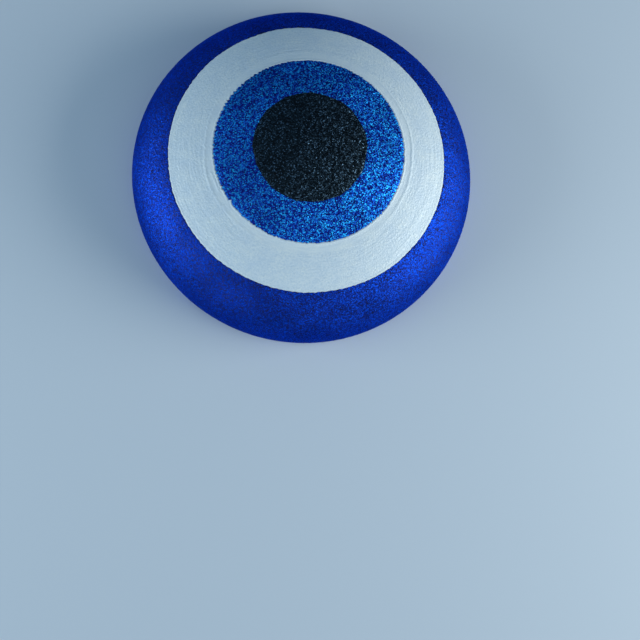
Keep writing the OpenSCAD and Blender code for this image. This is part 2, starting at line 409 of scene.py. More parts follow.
def glitter(name, flake, stops, edge_tint, tilt, metal, rough_low, rough_high):
    """Flakes of random colour and tilt: stops give the flakes' colours from dull to bright."""
    g = Graph(name)
    cells = g.add("TexVoronoi", {"Vector": g.place, "Scale": 1 / flake, "Randomness": 1.0})
    parts = g.add("SeparateColor", {0: cells.outputs["Color"]})
    colour = g.ramp(parts.outputs[0], stops)
    clouds = g.noise(22 * MM, 3.0)
    colour = g.mix(g.span(clouds, 0.35, 0.68, 0.0, 0.5), colour, (0.45, 0.45, 0.5, 1.0), "MULTIPLY")
    lean = g.vector("SUBTRACT", cells.outputs["Color"], (0.5, 0.5, 0.5))
    face = g.add("NewGeometry", {}).outputs["Normal"]
    normal = g.vector("NORMALIZE", g.vector("ADD", face, g.vector("SCALE", lean, scale=tilt)))
    g.sets(Base_Color=colour, Metallic=metal, Normal=normal, Specular_Tint=edge_tint,
           Roughness=g.span(parts.outputs[1], 0.0, 1.0, rough_low, rough_high))
    return g.material


def paint():
    """White paint with fine brush lines that run round the eye, and painted shade in the dips of its grain
    and between its lines.
    """
    g = Graph("white_brushed_paint")
    flat = g.vector("MULTIPLY", g.place, (1, 1, 0))
    radius = g.vector("LENGTH", flat)
    around = g.vector("NORMALIZE", flat)
    parts = g.add("SeparateXYZ", {0: around})
    strokes = g.add("CombineXYZ", {0: g.math("MULTIPLY", parts.outputs[0], 9.0),
                                   1: g.math("MULTIPLY", parts.outputs[1], 9.0),
                                   2: g.math("MULTIPLY", radius, 1100.0)}).outputs[0]
    lines = g.noise(1.0, 3.0, strokes, 0.6)
    dabs = g.noise(9 * MM, 3.0)
    grain = g.noise(1.1 * MM, 2.0)
    stipple = g.span(radius, IRIS_R + 5.0 * MM, IRIS_R + 7.0 * MM, 0.35, 1.0)
    colour = g.mix(g.span(dabs, 0.3, 0.7), rgb(210, 218, 224), rgb(224, 228, 226))
    # Painted shade: the paint turns a darker grey-blue in the dips of the stippled grain, where the bump
    # sinks.
    dips = g.math("MULTIPLY", stipple, g.span(grain, 0.32, 0.6, 0.6, 0.0))
    colour = g.mix(dips, colour, rgb(184, 200, 212))
    # Painted shade: the paint goes darker grey-blue in the grooves between the brush lines, where the bump
    # sinks.
    colour = g.mix(g.span(lines, 0.30, 0.62, 0.35, 0.0), colour, rgb(190, 204, 216))
    height = g.math("ADD", g.math("MULTIPLY", lines, 0.5), g.math("MULTIPLY", grain, stipple))
    g.sets(Base_Color=colour, Roughness=g.span(grain, 0.3, 0.7, 0.52, 0.38), Metallic=0.0,
           Normal=g.bump(height, 0.32 * MM, 0.8))
    return g.material


royal_flakes = glitter(
    "royal_blue_glitter", 0.54 * MM,
    [(0.0, rgb(44, 42, 72)), (0.3, rgb(30, 52, 134)), (0.7, rgb(22, 62, 182)), (1.0, rgb(18, 88, 218))],
    (0.05, 0.4, 1.0, 1.0), 0.36, 1.0, 0.5, 0.72)
azure_flakes = glitter(
    "azure_glitter", 0.62 * MM,
    [(0.0, rgb(26, 26, 100)), (0.4, rgb(27, 50, 158)), (0.68, rgb(30, 106, 220)), (1.0, rgb(54, 200, 255))],
    (0.1, 0.6, 1.0, 1.0), 0.3, 1.0, 0.54, 0.72)
black_flakes = glitter(
    "black_glitter", 0.56 * MM,
    [(0.0, rgb(12, 14, 16)), (0.6, rgb(26, 36, 42)), (0.88, rgb(50, 68, 80)), (1.0, rgb(92, 118, 140))],
    (0.6, 0.8, 1.0, 1.0), 0.42, 0.85, 0.4, 0.62)
white_paint = paint()

COAT_GAP = 0.04 * MM
glitter_coat("black_glitter_coat", "pupil_glitter_disc", "black_glitter", black_flakes, top_point,
             lambda a: pupil_border(a) - COAT_GAP, 0.75 * MM, 0.65 * MM, 0.08 * MM, 31)
glitter_coat("azure_glitter_coat", "iris_glitter_band", "azure_glitter", azure_flakes,
             lambda a: pupil_border(a) + COAT_GAP, lambda a: iris_border(a) - COAT_GAP,
             0.8 * MM, 0.65 * MM, 0.09 * MM, 32)
paint_coat("white_paint_coat", "white_paint_band", "white_paint", white_paint,
           lambda a: iris_border(a) + COAT_GAP, lambda a: white_border(a) - COAT_GAP, 0.65 * MM, 33)
glitter_coat("royal_glitter_coat", "outer_glitter_band", "fine_blue_glitter", royal_flakes,
             lambda a: white_border(a) + COAT_GAP, rim_border, 0.72 * MM, 0.66 * MM, 0.055 * MM, 34)

# ---------------------------------------------------------------- more mesh helpers
def tube(path, radius, sides=8, loop=False):
    """A tube of an even number of sides along a path, with rounded ends unless it is a loop."""
    path = np.asarray(path, float)
    radius = np.broadcast_to(np.asarray(radius, float), (len(path),)).copy()
    if not loop:
        for at, step in ((0, 1), (-1, -1)):
            tip, beside = path[at].copy(), path[at + step]
            inward = (beside - tip) / np.linalg.norm(beside - tip)
            size = radius[at]
            cap = [tip + inward * size * (1 - math.cos(q)) for q in (0.35, 0.8, 1.57)]
            widths = [size * math.sin(q) for q in (0.35, 0.8, 1.57)]
            if at == 0:
                path, radius = np.vstack([cap, path[1:]]), np.r_[widths, radius[1:]]
            else:
                path, radius = np.vstack([path[:-1], cap[::-1]]), np.r_[radius[:-1], widths[::-1]]
    if loop:
        ahead = np.roll(path, -1, 0) - np.roll(path, 1, 0)
    else:
        ahead = np.gradient(path, axis=0)
    ahead /= np.linalg.norm(ahead, axis=1)[:, None]
    side = np.zeros_like(path)
    start = np.cross(ahead[0], (0.31, 0.52, 0.79))
    side[0] = start / np.linalg.norm(start)
    for i in range(1, len(path)):
        across = side[i - 1] - ahead[i] * np.dot(side[i - 1], ahead[i])
        side[i] = across / np.linalg.norm(across)
    other = np.cross(ahead, side)
    turn = np.arange(sides) * TAU / sides
    rings = path[:, None] + radius[:, None, None] * (
        np.cos(turn)[None, :, None] * side[:, None] + np.sin(turn)[None, :, None] * other[:, None])
    points = rings.reshape(-1, 3)
    count = len(path)
    faces = [grid_faces(count, sides, count if loop else count - 1, sides)]
    if not loop:
        tips = path[0] - ahead[0] * radius[0] * 0.2, path[-1] + ahead[-1] * radius[-1] * 0.2
        points = np.vstack([points, *tips])
        j = np.arange(0, sides, 2)
        k, m = j + 1, (j + 2) % sides
        first, end = np.full(len(j), len(points) - 2), np.full(len(j), len(points) - 1)
        last = (count - 1) * sides
        faces.append(np.stack([first, m, k, j], -1))
        faces.append(np.stack([end, last + j, last + k, last + m], -1))
    return points, np.concatenate(faces)


def gather(parts):
    """Several (points, faces) solids as one."""
    points, faces, start = [], [], 0
    for part_points, part_faces in parts:
        points.append(part_points)
        faces.append(part_faces + start)
        start += len(part_points)
    return np.concatenate(points), np.concatenate(faces)


def twisted(path, radius, ply_turn, plies=2):
    """A thread of twisted plies along a path, one turn of twist every ply_turn metres."""
    path = np.asarray(path, float)
    ahead = np.gradient(path, axis=0)
    ahead /= np.linalg.norm(ahead, axis=1)[:, None]
    steps = np.linalg.norm(np.diff(path, axis=0), axis=1)
    along = np.r_[0, np.cumsum(steps)]
    side = np.cross(ahead, (0.31, 0.52, 0.79))
    side /= np.linalg.norm(side, axis=1)[:, None]
    other = np.cross(ahead, side)
    parts = []
    for ply in range(plies):
        phase = TAU * (along / ply_turn + ply / plies)
        offset = radius * 0.42 * (np.cos(phase)[:, None] * side + np.sin(phase)[:, None] * other)
        parts.append(tube(path + offset, radius * 0.6, 6))
    return gather(parts)


def curve_points(corners, count):
    """A smooth path of count points through some corners."""
    corners = np.asarray(corners, float)
    padded = np.vstack([2 * corners[0] - corners[1], corners, 2 * corners[-1] - corners[-2]])
    at = np.linspace(0, len(corners) - 1, count)
    i = np.clip(at.astype(int), 0, len(corners) - 2)
    t = (at - i)[:, None]
    a, b, c, d = (padded[i + k] for k in range(4))
    bend, twist = 2 * a - 5 * b + 4 * c - d, 3 * b - a - 3 * c + d
    return 0.5 * (2 * b + (c - a) * t + bend * t ** 2 + twist * t ** 3)


# ---------------------------------------------------------------- cloth, thread and metal
# The radius at which threads have their true pitch, and the petersham's ribs in a turn.
THREAD_R = 100 * MM
RIBS = 512


def cloth(name, base, light, pitch, ribs=0.0, sheen=0.5, rough=0.8, bias=0.0, depth=0.06):
    """A woven cloth: threads every pitch metres, and ribs across a band that goes round the axis, with shade
    painted into the gaps between them.
    """
    g = Graph(name)
    parts = g.add("SeparateXYZ", {0: g.place})
    x, y, z = parts.outputs
    angle = g.math("ARCTAN2", y, x)
    if ribs:
        ridge = g.math("ABSOLUTE", g.math("SINE", g.math("MULTIPLY", angle, ribs / 2)))
        threads = g.math("ABSOLUTE", g.math("SINE", g.math("MULTIPLY", z, math.pi / pitch)))
        height = g.math("ADD", g.math("MULTIPLY", ridge, 0.8), g.math("MULTIPLY", threads, 0.2))
    else:
        around = g.math("MULTIPLY", angle, round(TAU * THREAD_R / pitch) / TAU)
        reach = g.math("DIVIDE", g.vector("LENGTH", g.vector("MULTIPLY", g.place, (1, 1, 1.4))), pitch)
        first = g.math("ADD", around, g.math("MULTIPLY", reach, bias))
        second = g.math("SUBTRACT", reach, g.math("MULTIPLY", around, bias))
        warp = g.math("ABSOLUTE", g.math("SINE", g.math("MULTIPLY", first, math.pi)))
        weft = g.math("ABSOLUTE", g.math("SINE", g.math("MULTIPLY", second, math.pi)))
        height = g.math("MAXIMUM", warp, weft)
    fuzz = g.noise(0.5 * MM, 3.0)
    clouds = g.noise(14 * MM, 3.0)
    # Painted shade: the colour darkens into the sunken gaps between threads and ribs and is lighter on their
    # raised tops, mixed with random fibre fuzz.
    weave_shade_and_fuzz = g.math("ADD", g.math("MULTIPLY", height, 0.55), g.math("MULTIPLY", fuzz, 0.45))
    colour = g.mix(g.span(weave_shade_and_fuzz, 0.25, 0.85), base, light)
    colour = g.mix(g.span(clouds, 0.35, 0.65, 0.0, 0.25), colour, base)
    g.sets(Base_Color=colour, Roughness=g.span(fuzz, 0.3, 0.7, rough - 0.08, rough + 0.08),
           Sheen_Weight=sheen, Sheen_Roughness=0.4,
           Normal=g.bump(g.math("ADD", height, g.math("MULTIPLY", fuzz, 0.4)), depth * MM, 0.8))
    return g.material


def satin(name, base, light):
    """Lining satin: long floats that shine across the grain, with a faint slub."""
    g = Graph(name)
    stretched = g.vector("MULTIPLY", g.place, (1, 9, 1))
    slub = g.noise(2.2 * MM, 3.0, stretched)
    floats = g.noise(0.45 * MM, 2.0, g.vector("MULTIPLY", g.place, (1, 6, 1)))
    clouds = g.noise(25 * MM, 3.0)
    colour = g.mix(g.span(slub, 0.3, 0.7), base, light)
    colour = g.mix(g.span(clouds, 0.35, 0.65, 0.0, 0.35), colour, base)
    height = g.math("ADD", g.math("MULTIPLY", floats, 0.6), g.math("MULTIPLY", slub, 0.4))
    g.sets(Base_Color=colour, Roughness=g.span(floats, 0.3, 0.7, 0.3, 0.46), Sheen_Weight=0.35,
           Sheen_Roughness=0.3, Specular_IOR_Level=0.65, Normal=g.bump(height, 0.05 * MM, 0.8))
    return g.material


def felt(name, base, light):
    """Pressed wool: matted fibres with a soft nap."""
    g = Graph(name)
    fibres = g.add("TexNoise", {"Vector": g.place, "Scale": 1 / (0.9 * MM), "Detail": 4.0, "Roughness": 0.7,
                                "Distortion": 2.5}).outputs["Fac"]
    lumps = g.noise(3 * MM, 2.0)
    colour = g.mix(g.span(fibres, 0.35, 0.65), base, light)
    height = g.math("ADD", g.math("MULTIPLY", fibres, 0.6), g.math("MULTIPLY", lumps, 0.4))
    g.sets(Base_Color=colour, Roughness=g.span(fibres, 0.3, 0.7, 0.85, 0.97), Sheen_Weight=0.6,
           Sheen_Roughness=0.5, Normal=g.bump(height, 0.25 * MM, 0.9))
    return g.material


def thread(name, base, light):
    """Sewing thread: fine glossy fibres along a tight twist."""
    g = Graph(name)
    fibres = g.noise(0.12 * MM, 2.0)
    tone = g.noise(1.5 * MM, 2.0)
    colour = g.mix(g.span(fibres, 0.3, 0.7), base, light)
    colour = g.mix(g.span(tone, 0.4, 0.7, 0.0, 0.4), colour, base)
    g.sets(Base_Color=colour, Roughness=g.span(fibres, 0.3, 0.7, 0.5, 0.7), Sheen_Weight=0.3,
           Normal=g.bump(fibres, 0.03 * MM, 0.8))
    return g.material


def metal(name, base, worn, rough):
    """Drawn or rolled metal with fine scratches and slightly worn high spots."""
    g = Graph(name)
    drawn = g.noise(0.35 * MM, 3.0, g.vector("MULTIPLY", g.place, (0.12, 1, 1)))
    spots = g.noise(3.5 * MM, 4.0)
    colour = g.mix(g.span(spots, 0.42, 0.66), base, worn)
    g.sets(Base_Color=colour, Metallic=1.0, Normal=g.bump(drawn, 0.02 * MM, 0.6),
           Roughness=g.math("ADD", g.span(drawn, 0.3, 0.7, rough - 0.06, rough + 0.06),
                            g.span(spots, 0.45, 0.7, 0.0, 0.12)))
    return g.material


navy_satin = satin("navy_lining_satin", rgb(14, 22, 74), rgb(34, 48, 120))
petersham = cloth("black_petersham", rgb(9, 9, 11), rgb(38, 38, 44), 0.35 * MM,
                  ribs=float(RIBS), sheen=0.4, rough=0.7)
bias_tape = cloth("navy_bias_tape", rgb(10, 14, 42), rgb(30, 38, 84), 0.55 * MM,
                  bias=1.0, sheen=0.35, rough=0.82)
grosgrain = cloth("black_grosgrain_tab", rgb(9, 9, 11), rgb(42, 42, 48), 0.4 * MM, sheen=0.4, rough=0.7)
pad_felt = felt("charcoal_felt", rgb(20, 20, 24), rgb(52, 52, 58))
base_felt = felt("navy_foundation_felt", rgb(12, 18, 52), rgb(24, 34, 84))
navy_thread = thread("navy_thread", rgb(22, 28, 72), rgb(64, 74, 140))
nickel = metal("nickel_wire", rgb(206, 208, 212), rgb(150, 152, 158), 0.24)
wire_steel = metal("millinery_wire", rgb(168, 170, 176), rgb(120, 120, 126), 0.34)
brass = metal("rolled_brass", rgb(214, 178, 98), rgb(160, 122, 60), 0.26)
for node, material in (("foundation_shell", base_felt), ("edge_wire", wire_steel), ("wire_joiner", brass)):
    nodes[node].data.materials.clear()
    nodes[node].data.materials.append(material)

# ---------------------------------------------------------------- the lining
LINING_OUT, LINING_IN, RIBBON_IN = 2.2 * MM, 2.7 * MM, 3.4 * MM
TIP_R = 58 * MM
RIBBON_LOW, RIBBON_TOP = 8.4 * MM, 24 * MM
TIP_ARC = CROWN_R * math.asin(TIP_R / (CROWN_R - LINING_IN))
SEAM_STITCHES = 160
TURNS = np.linspace(0, TAU, 720, endpoint=False)


def arc_at_depth(z, depth):
    """Arc length at height z on the shoulder's inner face, depth metres inside the foundation."""
    return S_TANGENT + ROLL_R * (math.acos((z - TUCK_H) / (ROLL_R - depth)) - TANGENT)


def inner_grid(lengths, angles, depth):
    """A grid of points on the inside of the dome; depth may vary over the grid."""
    s, a = np.meshgrid(lengths, angles, indexing="ij")
    return on_dome(s, a, -depth)


def lining_disc():
    """The tip, with radial puckers where it is eased into the seam."""
    edge = TIP_ARC - 0.02 * MM
    # Two close rings leave only a pinhole at the centre, and keep the shading flat up to it.
    lengths = np.r_[0.02 * MM, 0.12 * MM, edge * np.linspace(0, 1, 64)[1:] ** 0.8]
    s, a = np.meshgrid(lengths, TURNS, indexing="ij")
    near = np.clip((s - 0.62 * edge) / (0.38 * edge), 0, 1) ** 2
    pucker = wave(TURNS, 51, 26, 74, 0.16 * MM)[None, :] * near
    calm = (1 - near) * np.clip(s / (20 * MM), 0, 1) ** 2
    drape = 0.12 * MM * np.sin(s / edge * 4 + 1.3 * np.sin(a)) * calm
    return slab(inner_grid(lengths, TURNS, LINING_IN - 0.08 * MM + pucker + drape),
                inner_grid(lengths, TURNS, LINING_OUT), True)


def lining_band():
    """The side band, gathered a little into the seam above and under the ribbon below."""
    top = TIP_ARC + 0.02 * MM
    low = arc_at_depth(RIBBON_LOW, LINING_IN)
    lengths = np.linspace(top, low, 66)
    share = (lengths - top) / (low - top)
    near_seam, near_ribbon = np.clip(1 - share / 0.3, 0, 1) ** 1.5, np.clip(share / 0.75, 0, 1) ** 2
    high_folds = wave(TURNS, 52, 30, 80, 0.17 * MM)[None, :] * near_seam[:, None]
    low_folds = wave(TURNS, 53, 24, 60, 0.16 * MM)[None, :] * near_ribbon[:, None]
    long_folds = wave(TURNS, 54, 8, 22, 0.08 * MM)[None, :] * np.sin(math.pi * share)[:, None]
    return slab(inner_grid(lengths, TURNS, LINING_IN - 0.08 * MM + high_folds + low_folds + long_folds),
                inner_grid(lengths, TURNS, LINING_OUT), True)


def seam_roll():
    """The felled seam: a soft roll of cloth that dips at each stitch."""
    width, high = 1.2 * MM, 0.5 * MM
    across = np.linspace(-1, 1, 11)
    dips = 1 - 0.28 * np.abs(np.cos(TURNS * SEAM_STITCHES / 2)) ** 6
    s, a = np.meshgrid(TIP_ARC + across * width, TURNS, indexing="ij")
    arch = high * np.sqrt(np.clip(1 - across ** 2, 0, 1))[:, None] * dips[None, :]
    face = on_dome(s, a, -(LINING_IN + 0.02 * MM + arch))
    return slab(face, on_dome(s, a, -(LINING_IN - 0.12 * MM)), True)


def seam_threads():
    """Slanted felling stitches over the seam."""
    parts = []
    for i in range(SEAM_STITCHES):
        start = (i + 0.5) * TAU / SEAM_STITCHES
        across = np.linspace(-1, 1, 9)
        s = TIP_ARC + across * 1.15 * MM
        a = start + across * 0.0068
        off = -(LINING_IN + 0.42 * MM * np.sqrt(np.clip(1 - across ** 2, 0, 1)) + 0.02 * MM)
        parts.append(tube(on_dome(s, a, off), 0.13 * MM, 6))
    return gather(parts)


tip = new_piece("satin_tip", *lining_disc(), "hat", "satin_lining", ["lining_tip"], navy_satin)
side = new_piece("satin_side_band", *lining_band(), "hat", "satin_lining", ["lining_side_band"], navy_satin)
new_piece("felled_seam", *seam_roll(), "hat", "satin_lining", ["lining_seam"], navy_satin)
new_piece("felled_seam_stitches", *seam_threads(), "hat", "sewing_thread", [], navy_thread)


# ---------------------------------------------------------------- binding and petersham ribbon
def binding():
    """Bias tape folded under the edge and up inside it, eased a little at its upper edge."""
    in_r, out_r, top_r = 99.05, 103.5, 101.88
    seen = MM * np.array([(out_r, 0.05), (out_r - 0.3, 0), (in_r + 1.2, 0), (in_r + 0.45, 0.12),
                          (in_r + 0.12, 0.42), (in_r, 1.0), (in_r, 2.4), (in_r + 0.08, 3.9),
                          (in_r + 0.5, 4.8), (top_r - 0.9, 7.3), (top_r - 0.55, 7.9)])
    behind = MM * np.array([(out_r, 0.6), (out_r - 0.3, 0.6), (in_r + 1.4, 0.6), (in_r + 0.9, 0.62),
                            (in_r + 0.66, 0.75), (in_r + 0.6, 1.1), (in_r + 0.6, 2.4), (in_r + 0.64, 3.8),
                            (in_r + 1.0, 4.6), (top_r - 0.4, 7.1), (top_r - 0.05, 7.95)])
    ease = wave(TURNS, 61, 40, 110, 0.09 * MM)
    share = np.clip((seen[:, 1] - 3 * MM) / (5 * MM), 0, 1)[:, None]
    radius = seen[:, 0][:, None] - ease[None, :] * share
    face = np.stack([radius * np.cos(TURNS), radius * np.sin(TURNS), seen[:, 1][:, None] + 0 * radius], -1)
    radius = behind[:, 0][:, None] + 0 * TURNS[None, :]
    back = np.stack([radius * np.cos(TURNS), radius * np.sin(TURNS), behind[:, 1][:, None] + 0 * radius], -1)
    return slab(face, back, True)


def ring_stitches(count, radius, z, length, thick, tilt, dip):
    """Running stitches round the inside at one height, each dipping into the cloth at its ends."""
    parts = []
    for i in range(count):
        across = np.linspace(-1, 1, 13)
        a = (i + 0.5) * TAU / count + across * length / 2 / radius
        r = radius + dip * across ** 4
        path = np.stack([r * np.cos(a), r * np.sin(a), z + tilt * across], -1)
        parts.append(twisted(path, thick, 1.1 * MM))
    return gather(parts)


def ribbon_band():
    """Petersham: ribs across its width, and small loops along both edges."""
    angles = np.linspace(0, TAU, 2048, endpoint=False)
    lengths = np.linspace(arc_at_depth(RIBBON_TOP, RIBBON_IN), arc_at_depth(RIBBON_LOW, RIBBON_IN), 14)
    s, a = np.meshgrid(lengths, angles, indexing="ij")
    end = np.linspace(-1, 1, 14)[:, None]
    rib = np.abs(np.sin(angles * RIBS / 2))[None, :]
    scallop = 0.16 * MM * (rib - 0.5) * np.sign(end) * (np.abs(end) > 0.95)
    ripple = wave(angles, 62, 10, 30, 0.05 * MM)[None, :]
    thin = 0.25 * MM * np.clip(np.abs(end) - 0.9, 0, 1) / 0.1
    face = on_dome(s + scallop, a, -(RIBBON_IN - 0.08 * MM + 0.05 * MM * rib + ripple - thin))
    return slab(face, on_dome(s + scallop, a, -(LINING_IN + 0.03 * MM)), True)


def ribbon_end():
    """The ribbon's end, folded under and lapped over its start, with a soft fold at one side."""
    angles = np.radians(-90 + np.linspace(-4, 4, 49))
    lengths = np.linspace(arc_at_depth(RIBBON_TOP, RIBBON_IN), arc_at_depth(RIBBON_LOW, RIBBON_IN), 14)
    s, a = np.meshgrid(lengths, angles, indexing="ij")
    share = np.linspace(0, 1, 49)[None, :]
    bulge = 0.66 * MM * np.sqrt(np.clip(1 - (1 - np.clip(share / 0.09, 0, 1)) ** 2, 0, 1))
    fall = 1 - 0.45 * np.clip((share - 0.3) / 0.7, 0, 1)
    ribs = 0.05 * MM * np.abs(np.sin(angles * RIBS / 2))[None, :]
    face = on_dome(s, a, -(RIBBON_IN + 0.03 * MM + bulge * fall + ribs))
    return slab(face, on_dome(s, a, -(RIBBON_IN - 0.15 * MM)), False)


def ribbon_threads():
    parts = []
    for z in (RIBBON_LOW + 1.4 * MM, RIBBON_TOP - 1.4 * MM):
        radius = float(profile(arc_at_depth(z, RIBBON_IN))[0]) - RIBBON_IN * math.sqrt(
            1 - ((z - TUCK_H) / (ROLL_R - RIBBON_IN)) ** 2)
        parts.append(ring_stitches(36, radius - 0.1 * MM, z, 3.0 * MM, 0.24 * MM, 0.12 * MM, 0.35 * MM))
    return gather(parts)


tape = new_piece("bias_binding", *binding(), "hat", "binding_tape", ["edge_binding"], bias_tape)
new_piece("binding_stitches", *ring_stitches(210, 100.62 * MM, 6.6 * MM, 2.1 * MM, 0.17 * MM, 0.0, 0.3 * MM),
          "hat", "sewing_thread", [], navy_thread)
ribbon = new_piece("petersham_ribbon", *ribbon_band(), "hat", "petersham", ["rim_ribbon"], petersham)
lap = new_piece("petersham_overlap", *ribbon_end(), "hat", "petersham", ["ribbon_overlap"], petersham)
new_piece("petersham_stitches", *ribbon_threads(), "hat", "sewing_thread", ["ribbon_stitches"], navy_thread)

# ---------------------------------------------------------------- comb
def joint_place(name):
    """A point on the joint's axis at rest."""
    return np.array(next(j["pos_m"] for j in frame["joints"] if j["name"] == name), float)


# The comb's, its threads' and its pad's sizes.
SPINE = joint_place("comb_hinge")
SPINE_R, COMB_W, TEETH, TOOTH_D = 1.2 * MM, 46 * MM, 15, 1.1 * MM
TOOTH_PITCH = (COMB_W - 4 * MM) / (TEETH - 1)
TOOTH_R, TOOTH_SWEEP, TOOTH_RISE = 110 * MM, math.radians(18), math.radians(36)
WALL_ANGLE = math.radians(57)
SEWN_GAPS = (1, 5, 8, 12)
THREAD_BITE, LOOP_ROOM, LOOP_R, LOOP_T = 0.8 * MM, 2.0 * MM, 1.68 * MM, 0.24 * MM
PAD_T, PAD_HALF = 1.0 * MM, math.radians(18)
PAD_R = ROLL_X + (ROLL_R - LINING_IN) * math.cos(WALL_ANGLE)


def gap_x(i):
    """The middle of the gap between tooth i and the next."""
    return (i + 1 - TEETH / 2) * TOOTH_PITCH


def arc_on_lining(radii):
    """Arc length to the lining's circles of these plan radii on the shoulder."""
    return S_TANGENT + ROLL_R * (np.arcsin((radii - ROLL_X) / (ROLL_R - LINING_IN)) - TANGENT)


def pad():
    """The felt pad: a curved strip with rounded corners and soft edges."""
    lengths = arc_on_lining(PAD_R + np.linspace(-5.4, 5.4, 23) * MM)
    share = np.linspace(-1, 1, 23)
    corner = 1 - 0.05 * (1 - np.sqrt(np.clip(1 - np.clip((np.abs(share) - 0.62) / 0.38, 0, 1) ** 2, 0, 1)))
    across = np.linspace(-1, 1, 97)
    s = lengths[:, None] + 0 * across[None, :]
    a = math.pi / 2 + PAD_HALF * across[None, :] * corner[:, None]
    edge = np.minimum((1 - np.abs(share))[:, None] * 5.4, (1 - np.abs(across))[None, :] * 27)
    lift = PAD_T * np.clip(edge / 0.8, 0, 1) ** 0.5
    lumps = 0.05 * MM * np.sin(across * 31)[None, :] * np.cos(share * 7)[:, None]
    return slab(on_dome(s, a, -(LINING_IN + 0.03 * MM + lift * 0.97 + lumps * (lift > 0))),
                on_dome(s, a, -(LINING_IN - 0.1 * MM)), False)


def pad_threads():
    """Whip stitches over the pad's two long edges."""
    parts = []
    for end in (-1, 1):
        for i in range(17):
            a = math.pi / 2 + PAD_HALF * 0.94 * (i / 8 - 1)
            reach = np.array([6.3, 5.7, 5.0, 4.2, 3.7]) * end
            s = arc_on_lining(PAD_R + reach * MM)
            off = -(LINING_IN + np.array([0.0, 0.45, 1.12, 1.16, 0.95]) * MM)
            slant = a + np.linspace(0, 0.009, 5)
            parts.append(twisted(curve_points(on_dome(s, slant, off), 15), 0.2 * MM, 1.0 * MM))
    return gather(parts)


def spine_rod():
    x = np.linspace(-COMB_W / 2, COMB_W / 2, 24)
    path = np.stack([x, SPINE[1] + 0 * x, SPINE[2] + 0 * x], -1)
    return tube(path, SPINE_R, 20)


def comb_teeth():
    """Tapered teeth that curve with the dome, with rounded tips."""
    parts = []
    t = np.r_[np.linspace(0, 0.9, 20), 0.94, 0.97, 1.0]
    a = math.pi / 2 - TOOTH_SWEEP * t
    y, z = TOOTH_R * np.cos(a), TOOTH_R * np.sin(a) - TOOTH_R
    out = y * math.cos(TOOTH_RISE) - z * math.sin(TOOTH_RISE)
    up = y * math.sin(TOOTH_RISE) + z * math.cos(TOOTH_RISE)
    radius = TOOTH_D / 2 * (1 - 0.3 * np.clip((t - 0.35) / 0.65, 0, 1))
    for i in range(TEETH):
        x = (i - (TEETH - 1) / 2) * TOOTH_PITCH
        parts.append(tube(np.stack([x + 0 * t, SPINE[1] - out, SPINE[2] + up], -1), radius, 12))
    return gather(parts)


def winding():
    """Fine wire that holds the teeth: a few turns round the spine in each unsewn gap."""
    parts = []
    for i in range(TEETH - 1):
        if i in SEWN_GAPS:
            continue
        turn = np.linspace(-1.5, 1.5, 73)
        radius = SPINE_R + 0.25 * MM
        x = gap_x(i) + turn * 0.52 * MM
        parts.append(tube(np.stack([x, SPINE[1] + radius * np.cos(turn * TAU),
                                    SPINE[2] + radius * np.sin(turn * TAU)], -1), 0.25 * MM, 8))
    return gather(parts)


def comb_threads():
    """Sewn loops of three strands round the spine and into the pad."""
    parts = []
    toward = np.array([0, math.cos(WALL_ANGLE), math.sin(WALL_ANGLE)])
    across = np.array([0, -math.sin(WALL_ANGLE), math.cos(WALL_ANGLE)])
    for i in SEWN_GAPS:
        lean_in = math.hypot(math.hypot(gap_x(i), SPINE[1]) - ROLL_X, SPINE[2] - TUCK_H)
        room = ROLL_R - LINING_IN - PAD_T - lean_in
        reach = room + THREAD_BITE - LOOP_ROOM
        for strand in (-1, 0, 1):
            bend = np.linspace(math.pi / 2, 3 * math.pi / 2, 15)
            near = [(LOOP_R * math.cos(q), LOOP_R * math.sin(q)) for q in bend]
            far = [(reach + LOOP_R * math.cos(q + math.pi), LOOP_R * math.sin(q + math.pi)) for q in bend]
            x = gap_x(i) + strand * 0.36 * MM
            path = [np.array([x, SPINE[1], SPINE[2]]) + u * toward + v * across for u, v in near + far]
            parts.append(tube(path, LOOP_T, 8, loop=True))
    return gather(parts)


patch = new_piece("felt_pad", *pad(), "hat", "felt_pad", ["comb_pad"], pad_felt)
new_piece("felt_pad_stitches", *pad_threads(), "hat", "sewing_thread", [], navy_thread)
new_piece("comb_spine_rod", *spine_rod(), "comb", "comb_steel", ["comb_spine"], nickel)
new_piece("comb_curved_teeth", *comb_teeth(), "comb", "comb_steel", ["comb_teeth"], nickel)
new_piece("comb_wound_wire", *winding(), "comb", "comb_steel", ["comb_winding"], nickel)
new_piece("comb_thread_loops", *comb_threads(), "hat", "sewing_thread", ["comb_stitches"], navy_thread)

# ---------------------------------------------------------------- elastic tabs
TAB_LEAN, TAB_W, TAB_LEN, TAB_T = math.radians(14), 9 * MM, 14 * MM, 1.2 * MM
EYE_R, EYE_DROP, EYE_WALL = 2.0 * MM, 9.3 * MM, 0.4 * MM


def on_tab(points, side):
    """Tab coordinates (through, across, down) as points in the row frame, on the +X or -X side."""
    hinge = joint_place("tab_back_hinge" if side > 0 else "tab_front_hinge")
    through, across, down = points[..., 0], points[..., 1], points[..., 2]
    x = abs(hinge[0]) + through * math.cos(TAB_LEAN) + down * math.sin(TAB_LEAN)
    z = hinge[2] + through * math.sin(TAB_LEAN) - down * math.cos(TAB_LEAN)
    return np.stack([side * x, across, z], -1)


def tab_outline(angles):
    """Distance from the eyelet to the tab's rounded outline in each direction."""
    top, low, half, corner = EYE_DROP - 0.9 * MM, TAB_LEN - EYE_DROP, TAB_W / 2, 2.0 * MM
    c, s = np.cos(angles), np.sin(angles)
    down = np.where(c > 0, low / np.maximum(c, 1e-6), top / np.maximum(-c, 1e-6))
    reach = np.minimum(down, half / np.maximum(np.abs(s), 1e-6))
    u, v = low - corner, half - corner
    b = u * c + v * np.abs(s)
    round_reach = b + np.sqrt(np.maximum(b * b - (u * u + v * v - corner * corner), 0))
    in_corner = (reach * c > u) & (reach * np.abs(s) > v)
    return np.where(in_corner, round_reach, reach)


